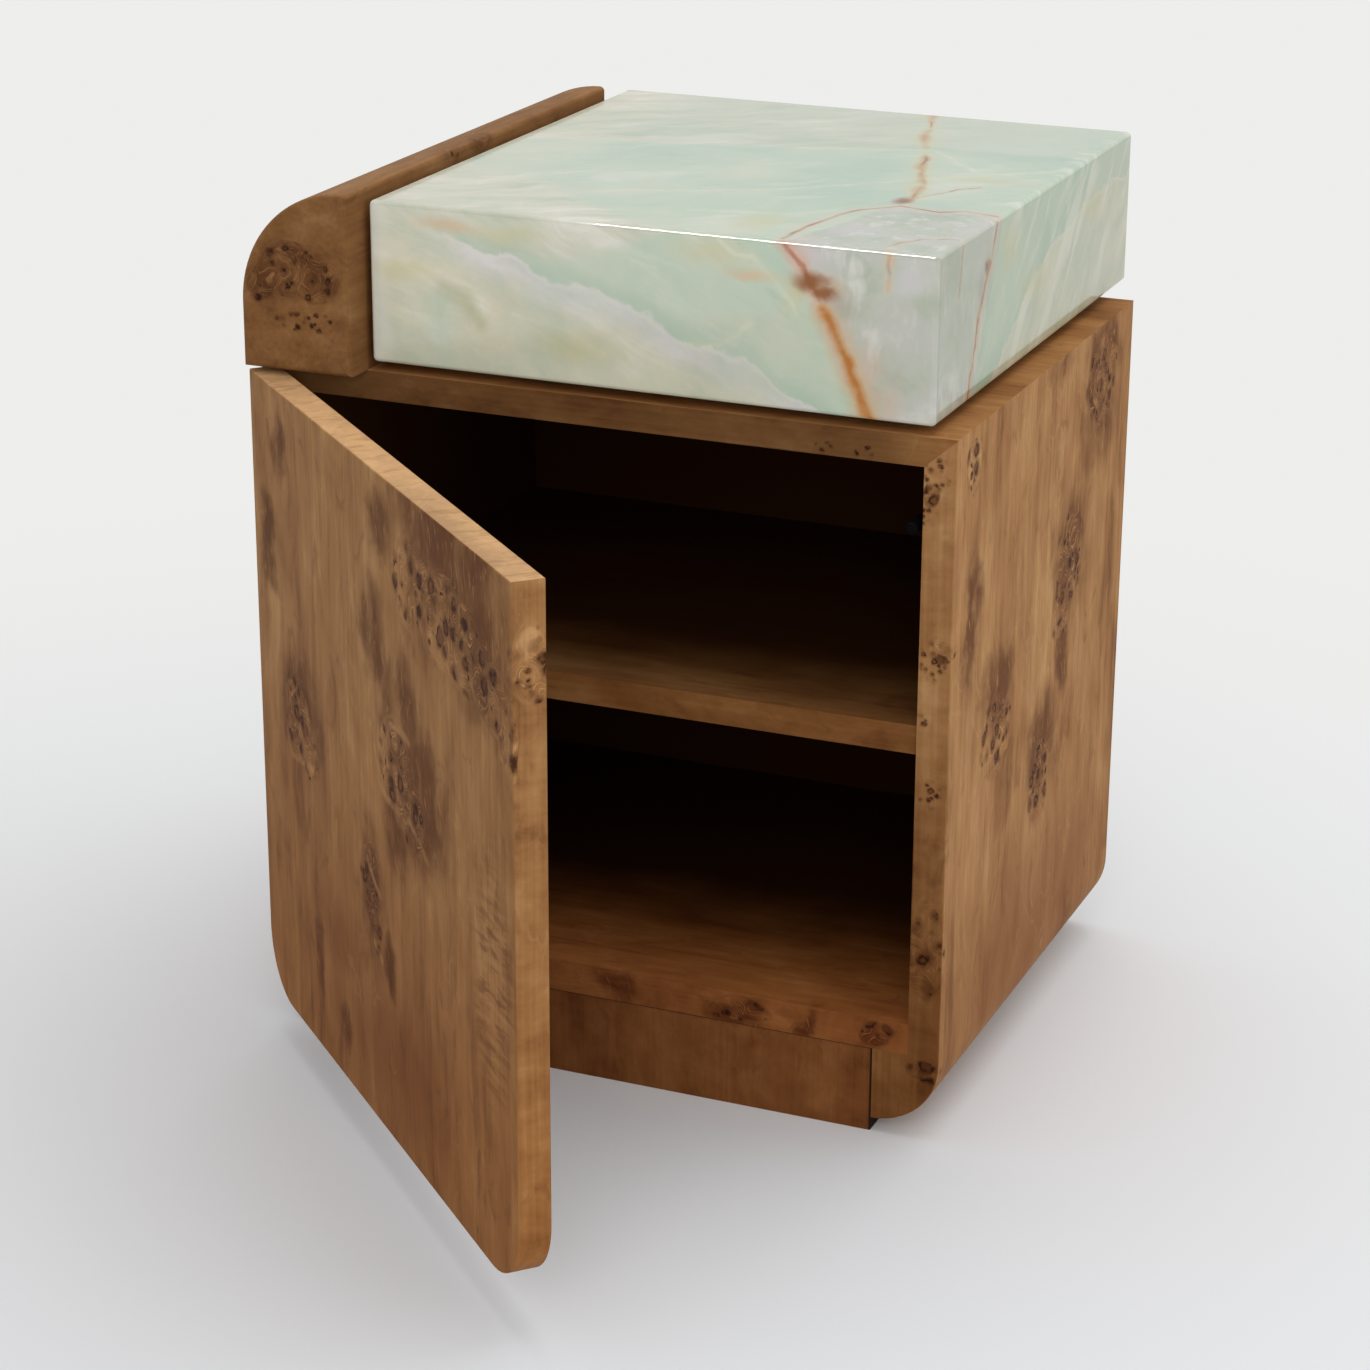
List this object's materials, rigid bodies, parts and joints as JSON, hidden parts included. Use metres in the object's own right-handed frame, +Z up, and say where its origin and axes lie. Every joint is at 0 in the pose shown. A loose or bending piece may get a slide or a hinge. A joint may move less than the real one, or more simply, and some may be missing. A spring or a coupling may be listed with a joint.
{
  "type": "storage side table",
  "caption": "Veneered side table with a hinged door, open shelf compartments, a curved upstand and a thick stone top on a shadow gap.",
  "frame": {"origin": "on the floor under the middle of the cabinet", "axes": "+X to the latch side, -Y to the front, +Z up"},
  "size_m": [0.4, 0.6257, 0.495],
  "materials": {
    "burl_veneer": "satin",
    "back_veneer": "satin",
    "plinth_veneer": "satin",
    "plain_wood": "matte",
    "black_board": "matte",
    "onyx": "gloss",
    "steel": "satin",
    "black_plastic": "matte",
    "bumper_rubber": "matte"
  },
  "bodies": {
    "cabinet": {"left_side_panel": "burl_veneer", "right_side_panel": "burl_veneer", "top_panel": "burl_veneer", "floor_panel": "burl_veneer", "back_panel": "back_veneer", "shelf": "burl_veneer", "curved_upstand": "burl_veneer", "plinth_front": "plinth_veneer", "plinth_back": "plinth_veneer", "plinth_left_rail": "plain_wood", "plinth_centre_rail": "plain_wood", "plinth_right_rail": "plain_wood", "stone_block": "onyx", "stone_spacer": "black_board", "mitre_tongues": "plain_wood", "floor_dowels": "plain_wood", "shelf_pins": "steel", "back_panel_screws": "steel", "plinth_screws": "steel", "upstand_screws": "steel", "spacer_screws": "steel", "upper_hinge_arm": "steel", "lower_hinge_arm": "steel", "hinge_arm_screws": "steel", "latch_body": "black_plastic", "latch_spring": "steel", "latch_screws": "steel"},
    "door": {"door_panel": "burl_veneer", "upper_hinge_block": "steel", "lower_hinge_block": "steel", "upper_hinge_pin": "steel", "lower_hinge_pin": "steel", "hinge_block_screws": "steel", "strike_plate": "steel", "door_bumpers": "bumper_rubber"},
    "plunger": {"latch_plunger": "black_plastic"}
  },
  "joints": [
    {"name": "door_hinge", "type": "hinge", "parent": "cabinet", "child": "door", "pos_m": [-0.191, -0.17, 0.2145], "axis": [0, 0, 1], "range_deg": [-51.5, 43.5]},
    {"name": "latch_press", "type": "slide", "parent": "cabinet", "child": "plunger", "axis": [0, 1, 0], "range_m": [0, 0.0025], "stiffness_N_per_m": 600, "springref_m": -0.01, "deforming": ["latch_spring"]}
  ]
}
